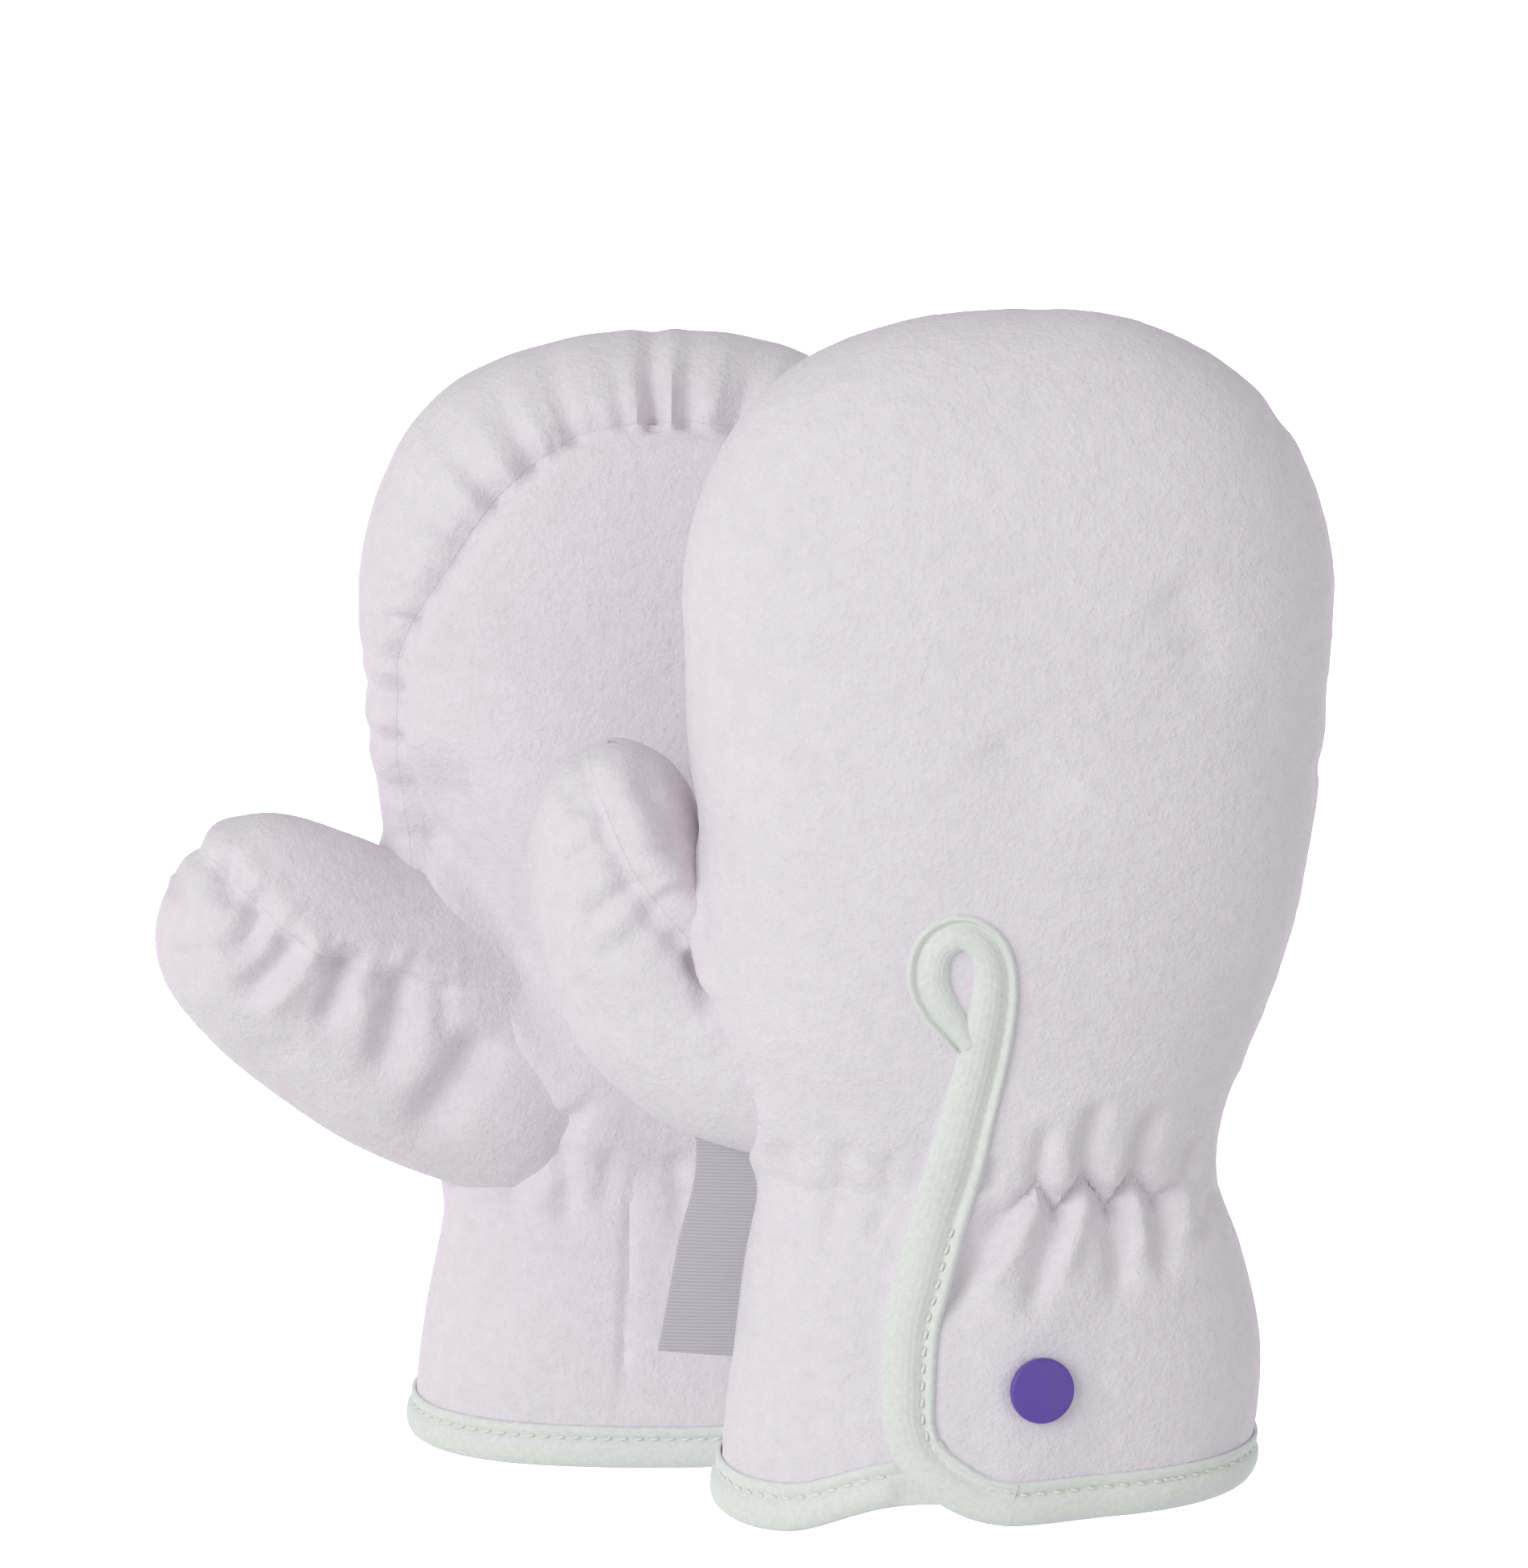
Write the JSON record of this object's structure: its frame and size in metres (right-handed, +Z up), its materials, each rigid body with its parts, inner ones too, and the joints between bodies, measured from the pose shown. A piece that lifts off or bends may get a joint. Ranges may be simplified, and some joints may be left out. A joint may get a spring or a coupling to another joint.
{
  "type": "pair of baby mittens",
  "caption": "Pair of baby's fleece mittens with thumbs, gathered palm seams, an elastic wrist and an overlapped, bound slit on the back.",
  "frame": {"origin": "in the middle of the right mitten's open cuff, level with its hem, where the wearer's hand goes in and holds it", "axes": "+Z up from the cuffs to the fingertips, +X across the hands away from the thumbs, +Y from the right mitten in front to the left one behind"},
  "size_m": [0.152, 0.1054, 0.1614],
  "materials": {
    "fleece": "matte pale lilac grey fleece with a short, dense nap",
    "binding": "matte stretch binding with fine lengthwise ribs, off-white",
    "badge": "satin moulded soft plastic, violet",
    "label": "smooth woven tape, grey, without text"
  },
  "bodies": {
    "root": {"right_palm": "fleece", "right_back": "fleece", "right_thumb_finger_side": "fleece", "right_thumb_outer_side": "fleece", "right_slit_binding": "binding", "right_hem": "binding", "right_flap_hem": "binding", "right_badge": "badge", "right_label": "label", "left_palm": "fleece", "left_back": "fleece", "left_thumb_finger_side": "fleece", "left_thumb_outer_side": "fleece", "left_slit_binding": "binding", "left_hem": "binding", "left_flap_hem": "binding", "left_badge": "badge"}
  },
  "joints": []
}
